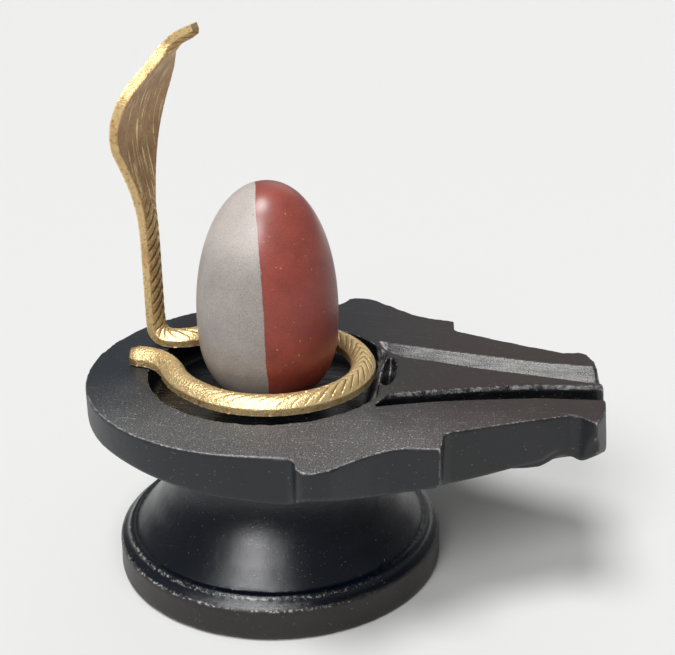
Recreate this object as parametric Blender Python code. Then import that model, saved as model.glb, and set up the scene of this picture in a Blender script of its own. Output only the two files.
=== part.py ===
"""Two-coloured stone egg standing in a carved black base, with a brass snake coiled round it.

Metres, +Z up. The origin is on the foot's underside below the centre of the round disc, and the
base's spout points along +X. Sizes below are in millimetres.
"""
import math

import bmesh
import bpy
from mathutils import Vector

MM = 0.001
GAP = 0.3

# Base: foot, bead, groove, flank and waist, as radius and height; the foot is set a little off the disc
BASE_TOP = 40.3
FOOT_RADIUS = 32.8
FOOT_OFF_AXIS = 1.0
WAIST_RADIUS = 17.4
WAIST_HEIGHT = 24.4
WAIST_OVERLAP = 4.0
FOOT_FLANK = (
    (FOOT_RADIUS - 0.6, 0.0), (FOOT_RADIUS, 0.6), (32.7, 4.6), (32.3, 5.9), (31.6, 6.8), (31.0, 7.5),
    (30.4, 7.6), (29.9, 7.2), (29.6, 8.3), (29.9, 9.2), (29.7, 10.6), (28.8, 12.2), (27.0, 14.0),
    (24.7, 16.1), (22.4, 18.3), (20.4, 20.3), (18.7, 22.3), (17.8, 23.6), (WAIST_RADIUS, WAIST_HEIGHT),
)
TURNED_STEPS = 64
EDGE_WEAR = 0.4
CUT_ABOVE = 1.0

# Head in plan, near side (-Y) and far side (+Y), from the disc towards the spout's tip
DISC_RADIUS = 36.0
DISC_STEPS = 40
NEAR_SIDE = (
    (9.3, -36.0), (10.5, -36.9), (11.2, -39.5), (12.4, -40.6), (14.3, -40.7), (17.0, -39.1), (19.9, -36.1),
    (23.0, -33.2), (26.2, -31.0), (28.8, -30.0), (34.9, -29.7), (35.1, -24.3), (36.4, -23.0), (41.3, -20.8),
    (49.0, -17.5), (55.5, -14.9), (57.8, -14.1), (59.2, -14.6), (61.9, -17.0), (63.7, -12.0), (64.1, -6.5),
)
FAR_SIDE = (
    (8.3, 36.2), (9.6, 37.4), (10.6, 40.1), (12.2, 40.9), (15.0, 40.7), (17.2, 39.6), (20.1, 36.9),
    (23.4, 34.0), (26.4, 31.6), (29.6, 30.2), (34.7, 29.0), (35.0, 24.6), (36.4, 23.2), (41.3, 21.0),
    (49.0, 17.7), (57.2, 14.4), (60.3, 14.9), (61.9, 14.1), (63.1, 10.6), (64.1, 5.0),
)

# Underside of the head: where it is UNDERSIDE_EDGE high in plan, and how steeply it rises there
UNDERSIDE_EDGE = 33.3
UNDERSIDE_SLOPE = 0.6
UNDERSIDE_PLAN = (
    (-35.3, 0.0), (-30.6, 17.6), (-20.2, 29.2), (-8.0, 36.2), (4.0, 38.8), (14.0, 38.4), (22.0, 35.5),
    (30.0, 32.2), (38.0, 28.6), (46.0, 23.6), (54.0, 17.6), (58.0, 15.3), (62.0, 15.4), (67.5, 9.6),
    (69.5, 0.0),
)
UNDERSIDE_RINGS = (0.0, 0.25, 0.5, 0.75, 1.0)
UNDERSIDE_START = 15.9
BLANK_OVERHANG = (3.5, 9.0)
BLANK_ABOVE = 6.0

# Basin, its sloping sill on the spout side, the two channels and the pit between them
BASIN_RADIUS = 24.0
BASIN_DEPTH = 5.3
BASIN_FILLET = 1.4
BASIN_FILLET_STEPS = 3
SILL_TOP = 22.0
SILL_FOOT = 19.2
CHANNEL_DEPTH = 3.5
CHANNEL_SLOPE_RUN = 3.3
NEAR_CHANNEL_RIM = ((21.3, -14.7), (26.5, -12.9), (33.7, -10.8), (41.0, -9.4), (52.0, -7.4), (67.0, -7.1))
NEAR_CHANNEL_TONGUE = ((23.9, -9.6), (27.0, -8.0), (33.5, -6.4), (40.9, -4.3), (52.2, -1.9), (67.0, -0.9))
FAR_CHANNEL_RIM = ((19.0, 17.1), (22.0, 16.1), (32.5, 13.6), (40.6, 11.9), (52.5, 9.5), (67.0, 8.2))
FAR_CHANNEL_TONGUE = (
    (22.6, 11.6), (26.0, 9.4), (32.7, 8.0), (40.7, 5.6), (49.3, 4.0), (60.8, 1.4), (67.0, 0.4),
)
PIT_CENTRE = (22.9, 1.7)
PIT_SIZE = (1.1, 6.6, 1.9)

# Stone egg
STONE_RADIUS = 13.7
STONE_OFF_AXIS = -0.3
STONE_WIDEST = 52.0
STONE_TOP = 77.9
STONE_TOP_FULLNESS = 2.1
STONE_FOOT_FULLNESS = 2.6
STONE_FLAT = 3.2
STONE_STEPS = 36
STONE_ROWS = 12

# Snake: a flat-backed casting, with its back on the disc, its coil round the stone and its neck upright
SNAKE_BACK = BASE_TOP + GAP
COIL_CENTRE = (0.6, -1.4)
COIL_RADIUS = 17.75
COIL_START = 228.0
COIL_END = 465.0
COIL_STEPS = 12
TAIL_ROUTE = (
    (-28.3, 0.3), (-26.3, 0.2), (-24.4, -0.2), (-22.4, -1.1), (-20.4, -2.7), (-18.6, -5.2), (-17.1, -8.1),
    (-14.7, -11.4),
)
NECK_ROUTE = ((-7.6, 14.9), (-11.0, 14.3), (-14.3, 13.2), (-17.1, 11.8), (-19.3, 10.6), (-21.2, 10.1))
NECK_TURN = 8.0
NECK_PLACE = (-25.5, 10.5)
NECK_FORWARD = -1.5
BEND_RADIUS = 4.2
BEND_STEPS = 6
BODY_HALF_WIDTH = 2.35
BODY_SIDE = 1.4
BODY_CROWN = 1.7
TIP_HALF_WIDTH = 1.6
TIP_TAPER = 1.6
TIP_CROWN_SHARE = 0.75
ROUTE_STEPS = 6

# Neck and hood, going up: height, how far forward the back stands, half width, side, crown
HOOD = (
    (47.0, NECK_FORWARD, 2.3, 1.5, 1.5), (61.0, NECK_FORWARD, 2.3, 1.5, 1.5), (67.0, -1.55, 2.6, 1.6, 1.2),
    (71.0, -1.8, 3.4, 1.8, 0.5), (75.0, -2.2, 4.8, 1.9, 0.1), (79.0, -2.6, 6.9, 1.9, -0.2),
    (83.0, -2.85, 9.2, 1.9, -0.4), (87.0, -2.3, 10.4, 1.9, -0.5), (90.5, -1.2, 10.5, 1.9, -0.5),
    (94.0, 0.4, 9.7, 1.9, -0.5), (97.0, 2.3, 7.3, 1.9, -0.3), (99.6, 4.0, 4.4, 1.9, 0.1),
    (102.0, 5.7, 2.4, 1.6, 0.8), (103.8, 7.6, 1.9, 1.4, 1.0), (105.0, 9.9, 1.8, 1.4, 1.0),
    (105.6, 11.4, 1.6, 1.2, 0.9),
)

# Scales: grooves that sweep back from the middle of the front, and long ribs on the hood's face
SCALE_PITCH = 2.2
SCALE_DEPTH = 0.28
SCALE_SWEEP = 3.9
PLAIN_TAIL = 2.0
SWEEP_GROWS_OVER = 6.0
SWEEP_FADES_OVER = 40.0
RIB_DEPTH = 0.22
RIBS_FROM_WIDTH = 4.0
RIBS_FULL_WIDTH = 8.0
CROWN_FULLNESS = 2.4
FRONT_POINTS = 9
HOOD_LENGTH = 38.0
HOOD_STEP = 2.0


def clear_scene():
    for obj in list(bpy.data.objects):
        bpy.data.objects.remove(obj, do_unlink=True)


def finish_material(name, colour, roughness, metallic):
    material = bpy.data.materials.new(name)
    material.use_nodes = True
    shader = material.node_tree.nodes["Principled BSDF"]
    shader.inputs["Base Color"].default_value = (*colour, 1.0)
    shader.inputs["Roughness"].default_value = roughness
    shader.inputs["Metallic"].default_value = metallic
    return material


def add_object(name, shape, material=None, sharp_angle=40.0):
    bmesh.ops.recalc_face_normals(shape, faces=shape.faces)
    bmesh.ops.scale(shape, vec=(MM, MM, MM), verts=shape.verts)
    mesh = bpy.data.meshes.new(name)
    shape.to_mesh(mesh)
    shape.free()
    obj = bpy.data.objects.new(name, mesh)
    bpy.context.scene.collection.objects.link(obj)
    if material:
        mesh.materials.append(material)
        mesh.shade_smooth()
        mesh.set_sharp_from_angle(angle=math.radians(sharp_angle))
    else:
        obj.hide_render = True
        obj.display_type = "WIRE"
    return obj


def combine(obj, other, operation):
    modifier = obj.modifiers.new(operation.lower() + "_" + other.name, "BOOLEAN")
    modifier.operation = operation
    modifier.object = other
    modifier.solver = "EXACT"


def curve_value(p, q, r, s, t):
    """The smooth curve's value at a share t of the way from q to r, p and s being its neighbours."""
    square = (2 * p - 5 * q + 4 * r - s) * t * t
    cube = (3 * q - p - 3 * r + s) * t ** 3
    return 0.5 * (2 * q + (r - p) * t + square + cube)


def smooth_route(points, steps):
    """Points along a smooth curve through the given ones, any number of values in each."""
    ends = [points[0], *points, points[-1]]
    route = []
    for a, b, c, d in zip(ends, ends[1:], ends[2:], ends[3:]):
        for step in range(steps):
            t = step / steps
            route.append(tuple(curve_value(p, q, r, s, t) for p, q, r, s in zip(a, b, c, d)))
    route.append(tuple(points[-1]))
    return route


def turned(profile, steps):
    """A solid of revolution about Z from (radius, height) points, both ends on the axis."""
    shape = bmesh.new()
    verts = [shape.verts.new((radius, 0.0, height)) for radius, height in profile]
    edges = [shape.edges.new(pair) for pair in zip(verts, verts[1:])]
    bmesh.ops.spin(shape, geom=verts + edges, cent=(0, 0, 0), axis=(0, 0, 1), angle=math.tau, steps=steps,
                   use_merge=True)
    bmesh.ops.remove_doubles(shape, verts=shape.verts, dist=0.001)
    return shape


def prism(plan, bottom, top):
    """A closed plan outline raised from bottom to top."""
    shape = bmesh.new()
    face = shape.faces.new([shape.verts.new((x, y, bottom)) for x, y in plan])
    raised = bmesh.ops.extrude_face_region(shape, geom=[face])["geom"]
    lid = [part for part in raised if isinstance(part, bmesh.types.BMVert)]
    bmesh.ops.translate(shape, vec=(0, 0, top - bottom), verts=lid)
    return shape


def skinned(loops):
    """A closed solid bridged over rings of points and capped at both ends."""
    shape = bmesh.new()
    last_ring = None
    for loop in loops:
        verts = [shape.verts.new(point) for point in loop]
        ring = [shape.edges.new(pair) for pair in zip(verts, verts[1:] + verts[:1])]
        if last_ring:
            bmesh.ops.bridge_loops(shape, edges=last_ring + ring)
        else:
            shape.faces.new(verts)
        last_ring = ring
    shape.faces.new(verts)
    return shape


def disc_arc():
    """The round of the disc, from the far side's first point back to the near side's."""
    start = math.atan2(FAR_SIDE[0][1], 0.0)
    turn = math.pi / DISC_STEPS
    return [(DISC_RADIUS * math.cos(start + turn * i), DISC_RADIUS * math.sin(start + turn * i))
            for i in range(DISC_STEPS + 1)]


def head_outline():
    return [*disc_arc(), *NEAR_SIDE, *reversed(FAR_SIDE)]


def head_prism():
    shape = prism(head_outline(), WAIST_HEIGHT - WAIST_OVERLAP, BASE_TOP)
    rim = [edge for edge in shape.edges if all(vert.co.z > BASE_TOP - 0.01 for vert in edge.verts)]
    bmesh.ops.bevel(shape, geom=rim, offset=EDGE_WEAR, segments=1, affect="EDGES", profile=0.5, material=-1,
                    clamp_overlap=True)
    return shape


def underside_plan():
    """The underside's contour all round: the near half, then the far half mirrored from it."""
    half = smooth_route(UNDERSIDE_PLAN, 3)
    return [(x, -y) for x, y in half] + [(x, y) for x, y in reversed(half[1:-1])]


def underside_height(run, whole_run):
    """Height of the underside, a horizontal run inside its contour; it flattens towards the waist."""
    fall = UNDERSIDE_EDGE - WAIST_HEIGHT
    rate = UNDERSIDE_SLOPE / fall
    return UNDERSIDE_EDGE - fall * (1 - math.exp(-rate * run)) / (1 - math.exp(-rate * whole_run))


def head_blank():
    """A block whose underside sweeps up from the waist, wider all round than the head."""
    rays = [(x, y, math.hypot(x, y)) for x, y in underside_plan()]
    loops = [[] for ring in (*UNDERSIDE_RINGS, *BLANK_OVERHANG)]
    for x, y, reach in rays:
        whole_run = reach - UNDERSIDE_START
        runs = [whole_run * (1 - t) for t in UNDERSIDE_RINGS] + [-over for over in BLANK_OVERHANG]
        for loop, run in zip(loops, runs):
            share = (reach - run) / reach
            loop.append((x * share, y * share, underside_height(run, whole_run)))
    loops.append([(x, y, BASE_TOP + BLANK_ABOVE) for x, y, z in loops[-1]])
    return skinned(loops)


def foot_and_waist():
    inside_head = WAIST_HEIGHT + WAIST_OVERLAP
    shape = turned([(0.0, 0.0), *FOOT_FLANK, (WAIST_RADIUS, inside_head), (0.0, inside_head)], TURNED_STEPS)
    bmesh.ops.translate(shape, vec=(FOOT_OFF_AXIS, 0, 0), verts=shape.verts)
    return shape


def basin_cutter():
    floor = BASE_TOP - BASIN_DEPTH
    profile = [(0.0, floor)]
    for i in range(BASIN_FILLET_STEPS + 1):
        angle = math.pi / 2 * i / BASIN_FILLET_STEPS
        profile.append((BASIN_RADIUS - BASIN_FILLET * (1 - math.sin(angle)),
                        floor + BASIN_FILLET * (1 - math.cos(angle))))
    profile += [(BASIN_RADIUS, BASE_TOP + CUT_ABOVE), (0.0, BASE_TOP + CUT_ABOVE)]
    shape = turned(profile, TURNED_STEPS)
    slope = Vector((BASIN_DEPTH, 0.0, SILL_FOOT - SILL_TOP))
    cut = bmesh.ops.bisect_plane(shape, geom=shape.verts[:] + shape.edges[:] + shape.faces[:],
                                 plane_co=(SILL_TOP, 0.0, BASE_TOP), plane_no=slope, clear_outer=True)
    rim = [part for part in cut["geom_cut"] if isinstance(part, bmesh.types.BMEdge)]
    bmesh.ops.contextual_create(shape, geom=rim)
    return shape


def channel_cutter(rim, tongue):
    """A cutter whose rim side slopes down to the channel's floor and whose tongue side is upright."""
    inward = math.copysign(CHANNEL_SLOPE_RUN, tongue[0][1] - rim[0][1])
    loops = []
    for below_top in (CHANNEL_DEPTH, -CUT_ABOVE):
        shift = inward * below_top / CHANNEL_DEPTH
        height = BASE_TOP - below_top
        loops.append([(x, y + shift, height) for x, y in rim] + [(x, y, height) for x, y in reversed(tongue)])
    return skinned(loops)


def pit_cutter():
    shape = bmesh.new()
    bmesh.ops.create_uvsphere(shape, u_segments=12, v_segments=8, radius=1.0)
    bmesh.ops.scale(shape, vec=PIT_SIZE, verts=shape.verts)
    bmesh.ops.translate(shape, vec=(*PIT_CENTRE, BASE_TOP), verts=shape.verts)
    return shape


def build_base(stone_black):
    base = add_object("yoni_base", foot_and_waist(), stone_black)
    head = add_object("head_guide", head_blank())
    combine(head, add_object("head_outline_guide", head_prism()), "INTERSECT")
    combine(base, head, "UNION")
    combine(base, add_object("basin_guide", basin_cutter()), "DIFFERENCE")
    near_channel = channel_cutter(NEAR_CHANNEL_RIM, NEAR_CHANNEL_TONGUE)
    combine(base, add_object("near_channel_guide", near_channel), "DIFFERENCE")
    far_channel = channel_cutter(FAR_CHANNEL_RIM, FAR_CHANNEL_TONGUE)
    combine(base, add_object("far_channel_guide", far_channel), "DIFFERENCE")
    combine(base, add_object("pit_guide", pit_cutter()), "DIFFERENCE")


def stone_profile():
    """The egg's outline from its flat spot to its top: two half superellipses that meet at the widest."""
    floor = BASE_TOP - BASIN_DEPTH + GAP
    below = STONE_WIDEST - floor
    above = STONE_TOP - STONE_WIDEST
    lift = below * (1 - (1 - (STONE_FLAT / STONE_RADIUS) ** STONE_FOOT_FULLNESS) ** (1 / STONE_FOOT_FULLNESS))
    points = [(0.0, floor)]
    for i in range(1, STONE_ROWS + 1):
        angle = math.pi / 2 * i / STONE_ROWS
        share = math.sin(angle) ** (2 / STONE_FOOT_FULLNESS)
        height = STONE_WIDEST - (below + lift) * math.cos(angle) ** (2 / STONE_FOOT_FULLNESS)
        if height > floor:
            points.append((STONE_RADIUS * share, height))
        else:
            points[1:] = [(STONE_FLAT, floor)]
    for i in range(STONE_ROWS - 1, -1, -1):
        angle = math.pi / 2 * i / STONE_ROWS
        share = math.sin(angle) ** (2 / STONE_TOP_FULLNESS)
        height = STONE_WIDEST + above * math.cos(angle) ** (2 / STONE_TOP_FULLNESS)
        points.append((STONE_RADIUS * share, height))
    return points


def coil_points():
    centre_x, centre_y = COIL_CENTRE
    points = []
    for i in range(COIL_STEPS + 1):
        angle = math.radians(COIL_START + (COIL_END - COIL_START) * i / COIL_STEPS)
        points.append((centre_x + COIL_RADIUS * math.cos(angle), centre_y + COIL_RADIUS * math.sin(angle)))
    return points


def flat_stations():
    """The part that lies down: place of the back's middle, sideways direction and section."""
    bend_start = neck_point(NECK_FORWARD + BEND_RADIUS)[:2]
    plan = smooth_route([*TAIL_ROUTE, *coil_points(), *NECK_ROUTE, bend_start], ROUTE_STEPS)
    stations = []
    travelled = 0.0
    for i, (x, y) in enumerate(plan):
        before = plan[max(i - 1, 0)]
        after = plan[min(i + 1, len(plan) - 1)]
        travelled += math.dist(before, (x, y))
        along = Vector((after[0] - before[0], after[1] - before[1], 0.0)).normalized()
        taper = min(travelled / TIP_TAPER, 1.0)
        half_width = TIP_HALF_WIDTH + (BODY_HALF_WIDTH - TIP_HALF_WIDTH) * math.sqrt(taper)
        crown = BODY_CROWN * (TIP_CROWN_SHARE + (1 - TIP_CROWN_SHARE) * taper)
        sideways = Vector((-along.y, along.x, 0.0))
        stations.append((Vector((x, y, SNAKE_BACK)), sideways, half_width, BODY_SIDE, crown, 0.0))
    return stations


def neck_facing():
    turn = math.radians(NECK_TURN)
    return Vector((math.cos(turn), -math.sin(turn), 0.0))


def neck_point(forward, height=0.0):
    facing = neck_facing()
    return Vector((NECK_PLACE[0] + facing.x * forward, NECK_PLACE[1] + facing.y * forward, height))


def upright_stations():
    """The bend, the neck, the hood and the head, in the same terms."""
    facing = neck_facing()
    sideways = Vector((facing.y, -facing.x, 0.0))
    stations = []
    for i in range(1, BEND_STEPS):
        angle = math.pi / 2 * i / BEND_STEPS
        forward = NECK_FORWARD + BEND_RADIUS * (1 - math.sin(angle))
        height = SNAKE_BACK + BEND_RADIUS * (1 - math.cos(angle))
        stations.append((neck_point(forward, height), sideways, BODY_HALF_WIDTH, BODY_SIDE, BODY_CROWN, 0.0))
    for height, forward, half_width, side, crown in smooth_route(HOOD, ROUTE_STEPS):
        ribs = min(max((half_width - RIBS_FROM_WIDTH) / (RIBS_FULL_WIDTH - RIBS_FROM_WIDTH), 0.0), 1.0)
        stations.append((neck_point(forward, height), sideways, half_width, side, crown, ribs))
    return stations


class SnakeLine:
    """The snake's stations measured by their distance from the tail's tip."""

    def __init__(self, stations):
        self.stations = stations
        self.marks = [0.0]
        for a, b in zip(stations, stations[1:]):
            self.marks.append(self.marks[-1] + (b[0] - a[0]).length)
        self.length = self.marks[-1]

    def at(self, distance):
        distance = min(max(distance, 0.0), self.length)
        i = 1
        while self.marks[i] < distance and i < len(self.marks) - 1:
            i += 1
        t = (distance - self.marks[i - 1]) / (self.marks[i] - self.marks[i - 1])
        return [p + (q - p) * t for p, q in zip(self.stations[i - 1], self.stations[i])]

    def frame(self, distance):
        """Place, sideways and outward directions and section at a distance."""
        place, sideways, *section = self.at(distance)
        along = (self.at(distance + 0.3)[0] - self.at(distance - 0.3)[0]).normalized()
        sideways = sideways.normalized()
        return place, sideways, along.cross(sideways).normalized(), section


def snake_ring(line, distance, groove, sweep):
    """One ring of the snake: two corners of the flat back, then the front from side to side."""
    place, sideways, outward, (half_width, side, crown, ribs) = line.frame(distance)
    ring = [place + sideways * half_width, place - sideways * half_width]
    for k in range(FRONT_POINTS):
        across = -1 + 2 * k / (FRONT_POINTS - 1)
        lead = sweep * (1 - abs(across)) * (1 - ribs)
        place, sideways, outward, (half_width, side, crown, ribs) = line.frame(distance + lead)
        cut = groove * (1 - ribs) * (1 - across ** 4) + RIB_DEPTH * ribs * (k % 2)
        height = side + crown * (1 - abs(across) ** CROWN_FULLNESS) - cut
        ring.append(place + sideways * (half_width * across) + outward * height)
    return ring


def build_snake(brass):
    line = SnakeLine(flat_stations() + upright_stations())
    hood_start = line.length - HOOD_LENGTH
    loops = []
    distance = 0.0
    while distance < line.length:
        on_body = PLAIN_TAIL < distance < hood_start
        groove = SCALE_DEPTH * (len(loops) % 2) if on_body else 0.0
        fading = (line.length - distance) / SWEEP_FADES_OVER
        sweep = SCALE_SWEEP * min(distance / SWEEP_GROWS_OVER, fading, 1.0)
        loops.append(snake_ring(line, distance, groove, sweep))
        distance += SCALE_PITCH / 2 if distance < hood_start else HOOD_STEP
    loops.append(snake_ring(line, line.length, 0.0, 0.0))
    add_object("brass_snake", skinned(loops), brass, sharp_angle=50.0)


def main():
    clear_scene()
    build_base(finish_material("black_stone", (0.035, 0.033, 0.036), 0.45, 0.0))
    egg = add_object("lingam_stone", turned(stone_profile(), STONE_STEPS),
                     finish_material("two_coloured_stone", (0.32, 0.20, 0.17), 0.35, 0.0))
    egg.location.x = STONE_OFF_AXIS * MM
    build_snake(finish_material("brass", (0.62, 0.46, 0.22), 0.32, 1.0))


if __name__ == "__main__":
    main()
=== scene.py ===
"""Looks for a two-coloured stone egg in its carved black base, with a brass snake coiled round it.

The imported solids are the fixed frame. Each piece here replaces one of them and stays in its place.
Outlines and profiles are in millimetres in the frame's own axes: +X along the spout, +Z up.
"""
import math

import bmesh
import bpy
from bpy.props import FloatProperty, FloatVectorProperty, IntProperty, PointerProperty
from mathutils import Matrix, Vector, noise


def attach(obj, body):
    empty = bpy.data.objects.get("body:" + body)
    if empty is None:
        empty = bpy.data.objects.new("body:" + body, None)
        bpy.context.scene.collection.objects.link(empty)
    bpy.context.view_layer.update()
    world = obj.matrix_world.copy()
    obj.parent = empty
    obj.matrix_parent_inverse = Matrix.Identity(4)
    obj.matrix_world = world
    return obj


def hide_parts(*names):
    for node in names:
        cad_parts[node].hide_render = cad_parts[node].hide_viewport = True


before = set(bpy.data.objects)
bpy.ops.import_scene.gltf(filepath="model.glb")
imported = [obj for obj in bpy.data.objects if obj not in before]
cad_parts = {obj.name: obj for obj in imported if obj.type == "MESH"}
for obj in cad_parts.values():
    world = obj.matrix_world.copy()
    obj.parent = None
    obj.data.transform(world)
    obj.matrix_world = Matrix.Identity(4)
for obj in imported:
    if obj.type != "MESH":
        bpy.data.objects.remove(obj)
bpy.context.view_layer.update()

bl_info = {
    "name": "Stone egg on its carved base",
    "version": (1, 0, 0),
    "blender": (4, 5, 0),
    "location": "View3D > Sidebar > Stone egg",
    "description": "Dresses the packed solids of a stone egg, its black base and its brass snake",
    "category": "Object",
}

MM = 0.001

# Base: foot, bevel, bead, groove, flank and waist as radius and height
WAIST_RADIUS = 20.6
WAIST_HEIGHT = 24.4
WAIST_OVERLAP = 4.0
FOOT_RADIUS = 32.8
FOOT_FLANK = (
    (FOOT_RADIUS - 0.6, 0.0), (FOOT_RADIUS, 0.6), (32.75, 2.6), (32.7, 4.6), (32.7, 6.1), (32.5, 6.5),
    (31.9, 6.9), (31.1, 7.4), (31.0, 7.9), (30.5, 8.3), (29.8, 8.4), (29.4, 7.9), (29.1, 8.5), (27.5, 10.3),
    (26.0, 12.0), (24.5, 14.0), (23.1, 16.0), (22.0, 18.0), (21.2, 20.0), (20.7, 22.0),
    (WAIST_RADIUS, WAIST_HEIGHT),
)
FLANK_STEPS = 4
FOOT_STEPS = 180
BEVEL_FOOT = 6.4
BEAD_EDGE = 7.9

# Head in plan, near side (-Y) and far side (+Y), from the disc towards the spout's tip
NEAR_SIDE = (
    (9.3, -36.0), (10.5, -36.9), (11.2, -39.5), (12.4, -40.6), (14.3, -40.7), (17.0, -39.1), (19.9, -36.1),
    (23.0, -33.2), (26.2, -31.0), (28.8, -30.0), (34.9, -29.7), (35.1, -24.3), (36.4, -23.0), (41.3, -20.8),
    (49.0, -17.5), (55.5, -14.9), (57.8, -14.1), (59.2, -14.6), (61.9, -17.0), (63.7, -12.0), (64.1, -6.5),
)
FAR_SIDE = (
    (8.3, 36.2), (9.6, 37.4), (10.6, 40.1), (12.2, 40.9), (15.0, 40.7), (17.2, 39.6), (20.1, 36.9),
    (23.4, 34.0), (26.4, 31.6), (29.6, 30.2), (34.7, 29.0), (35.0, 24.6), (36.4, 23.2), (41.3, 21.0),
    (49.0, 17.7), (57.2, 14.4), (60.3, 14.9), (61.9, 14.1), (63.1, 10.6), (64.1, 5.0),
)
DISC_STEPS = 120

# Underside of the head: where it is UNDERSIDE_EDGE high in plan, and how steeply it rises there
UNDERSIDE_EDGE = 33.3
UNDERSIDE_SLOPE = 0.6
UNDERSIDE_PLAN = (
    (-35.3, 0.0), (-30.6, 17.6), (-20.2, 29.2), (-8.0, 36.2), (4.0, 38.8), (14.0, 38.4), (22.0, 35.5),
    (30.0, 32.2), (38.0, 28.6), (46.0, 23.6), (54.0, 17.6), (58.0, 15.3), (62.0, 15.4), (67.5, 9.6),
    (69.5, 0.0),
)
UNDERSIDE_START = 15.9
UNDERSIDE_STEPS = 6
UNDERSIDE_RINGS = 12
BLANK_OVERHANG = (3.5, 9.0)
BLANK_ABOVE = 6.0

# Basin, its sloping sill on the spout side, the two channels and the pit between them
BASIN_FILLET = 1.4
BASIN_FILLET_STEPS = 5
BASIN_STEPS = 160
SILL_TOP = 22.0
SILL_FOOT = 19.2
CUT_ABOVE = 1.0
CHANNEL_SLOPE_RUN = 3.3
TONGUE_EDGE = 0.8
NEAR_CHANNEL_RIM = ((21.3, -14.7), (26.5, -12.9), (33.7, -10.8), (41.0, -9.4), (52.0, -7.4), (67.0, -7.1))
NEAR_CHANNEL_TONGUE = ((23.9, -9.6), (27.0, -8.0), (33.5, -6.4), (40.9, -4.3), (52.2, -1.9), (67.0, -0.9))
FAR_CHANNEL_RIM = ((19.0, 17.1), (22.0, 16.1), (32.5, 13.6), (40.6, 11.9), (52.5, 9.5), (67.0, 8.2))
FAR_CHANNEL_TONGUE = (
    (22.6, 11.6), (26.0, 9.4), (32.7, 8.0), (40.7, 5.6), (49.3, 4.0), (60.8, 1.4), (67.0, 0.4),
)
PIT_CENTRE = (22.9, 1.7)
PIT_SIZE = (1.6, 6.6, 4.2)

# Spout's lower edge: an arch before the flare and a lobe that hangs at it, as place along X, reach and rise
SPOUT_ARCH = (56.2, 4.2, 1.6)
SPOUT_LOBE = (60.6, 2.6, -0.6)
SPOUT_EDGE_SIDE = (8.0, 13.0)
SPOUT_EDGE_HEIGHT = (33.0, 37.5)

# Spout's end: how far out it stands at its top, and how much farther at its bottom
SPOUT_END_OUT = 0.1
SPOUT_END_FLARE = 0.6
SPOUT_END_ZONE = (60.5, 63.5)

# Carved surface: how wear is read from the mesh, and noises of chips and lumps as fineness and strength
SMOOTHINGS = 2
WEAR_GAIN = 7.0
WEAR_START = 0.25
BROKEN_WEAR = 0.45
CHIP_NOISE = ((0.35, 2.0), (0.9, 1.2))
LUMP_NOISE = ((0.25, 0.03), (0.9, 0.012))

# Hollows: how fast the channels' rims close in along the spout, and where they end
NEAR_RIM_CLOSING = 0.17
FAR_RIM_CLOSING = 0.19
CHANNELS_END = 63.0

# Stone egg
STONE_OFF_AXIS = -0.3
STONE_WIDEST = 52.0
STONE_TOP_FULLNESS = 2.1
STONE_FOOT_FULLNESS = 2.6
STONE_FLAT = 3.2
STONE_LEAN = 0.4
# Heights over which the egg grows glossier and its grey half is painted lighter, a painted highlight
STONE_POLISHED_AND_LIT = (63.0, 70.0)

# Snake: a flat-backed casting, its back at the disc's level, its coil round the stone and its neck upright
COIL_CENTRE = (0.6, -1.4)
COIL_RADIUS = 17.75
COIL_START = 228.0
COIL_END = 465.0
COIL_STEPS = 12
TAIL_ROUTE = (
    (-28.3, 0.3), (-26.3, 0.2), (-24.4, -0.2), (-22.4, -1.1), (-20.4, -2.7), (-18.6, -5.2), (-17.1, -8.1),
    (-14.7, -11.4),
)
NECK_ROUTE = ((-7.6, 14.9), (-11.0, 14.3), (-14.3, 13.2), (-17.1, 11.8), (-19.3, 10.6), (-21.2, 10.1))
NECK_TURN = 8.0
NECK_PLACE = (-25.5, 10.5)
NECK_FORWARD = -1.5
BEND_RADIUS = 4.2
BEND_STEPS = 8
BODY_HALF_WIDTH = 2.35
BODY_SIDE = 1.4
BODY_CROWN = 1.7
TIP_HALF_WIDTH = 1.6
TIP_TAPER = 1.6
TIP_CROWN_SHARE = 0.75
ROUTE_STEPS = 8

# Neck and hood, going up: height, how far forward the back stands, half width, side, crown
HOOD = (
    (47.0, NECK_FORWARD, 2.3, 1.5, 1.5), (61.0, NECK_FORWARD, 2.3, 1.5, 1.5), (67.0, -1.55, 2.6, 1.6, 1.2),
    (71.0, -1.8, 3.4, 1.8, 0.5), (75.0, -2.2, 4.8, 1.9, 0.1), (79.0, -2.6, 6.9, 1.9, -0.2),
    (83.0, -2.85, 9.2, 1.9, -0.4), (87.0, -2.3, 10.4, 1.9, -0.5), (90.5, -1.2, 10.5, 1.9, -0.5),
    (94.0, 0.4, 9.7, 1.9, -0.5), (97.0, 2.3, 7.3, 1.9, -0.3), (99.6, 4.0, 4.4, 1.9, 0.1),
    (102.0, 5.7, 2.4, 1.6, 0.8), (103.8, 7.6, 1.9, 1.4, 1.0), (105.0, 9.9, 1.8, 1.4, 1.0),
    (105.6, 11.4, 1.6, 1.2, 0.9),
)
HOOD_FROM_WIDTH = 2.5
HOOD_FULL_WIDTH = 4.5
CROWN_FULLNESS = 2.4
BACK_POINTS = 6
SIDE_POINTS = 5
DOME_POINTS = 34
SMOOTH_UP_TO = 55.0

# Snake's surface, by distance from the tail's tip: where its scale cuts set in and widen, how wide they
# are, how rough the casting is, how far the back's edges stand out, and how the tail differs
SCALES_SET_IN = (20.0, 32.0)
SCALES_FAINT = 0.15
SCALES_WIDEN = (44.0, 54.0)
CUT_WIDTH = 0.20
CUT_WIDENING = 0.20
CUT_WAVER = 0.08
CAST_NOISE = ((1.4, 0.5), (3.0, 1.0))
CAST_DEPTH = 0.05
SIDE_DEPTH = 0.03
FLASH = 0.2
TIP_LENGTH = 2.2
TIP_TARNISH = 0.8
ROUGH_TAIL = (20.0, 40.0)
GRAINY_TAIL = (38.0, 20.0)

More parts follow.
